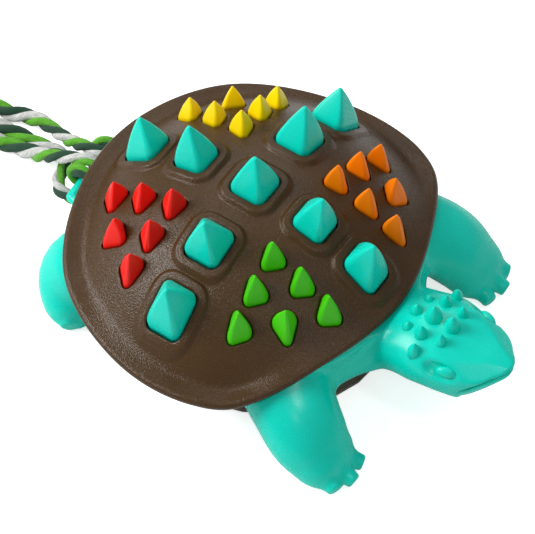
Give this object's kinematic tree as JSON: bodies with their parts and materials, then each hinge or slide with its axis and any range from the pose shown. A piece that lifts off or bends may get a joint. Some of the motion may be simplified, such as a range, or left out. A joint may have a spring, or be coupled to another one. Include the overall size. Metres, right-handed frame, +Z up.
{
  "type": "dog chew toy",
  "caption": "Turtle-shaped dog chew toy: soft rubber body between hard shells, with coloured rubber spikes through the back and a twisted rope hitched to the tail.",
  "frame": {"origin": "middle of the flat belly on the floor, below the crown of the dome", "axes": "+X to the head, +Y to the turtle's left, +Z up"},
  "size_m": [0.2485, 0.132, 0.073],
  "materials": {
    "brown_nylon": "fine-grained matt dark brown",
    "teal_rubber": "smooth half-gloss teal",
    "orange_rubber": "smooth half-gloss orange",
    "yellow_rubber": "smooth half-gloss yellow",
    "red_rubber": "smooth half-gloss red",
    "green_rubber": "smooth half-gloss green",
    "screw_steel": "plated steel",
    "cotton_rope": "twisted cotton in dark green, lime and white"
  },
  "bodies": {
    "turtle": {"upper_shell": "brown_nylon", "lower_shell": "brown_nylon", "rubber_body": "teal_rubber", "orange_spike_pad": "orange_rubber", "yellow_spike_pad": "yellow_rubber", "red_spike_pad": "red_rubber", "green_spike_pad": "green_rubber", "belly_screw_1": "screw_steel", "belly_screw_2": "screw_steel", "belly_screw_3": "screw_steel", "belly_screw_4": "screw_steel"},
    "rope": {"rope_hitch": "cotton_rope", "rope_turns": "cotton_rope", "rope_handle": "cotton_rope", "rope_tail": "cotton_rope", "rope_end_knot": "cotton_rope", "rope_fray": "cotton_rope"}
  },
  "joints": [
    {"name": "rope_swing", "type": "hinge", "parent": "turtle", "child": "rope", "pos_m": [-0.066, 0, 0.017], "axis": [0, 1, 0], "range_deg": [-60, 60]}
  ]
}
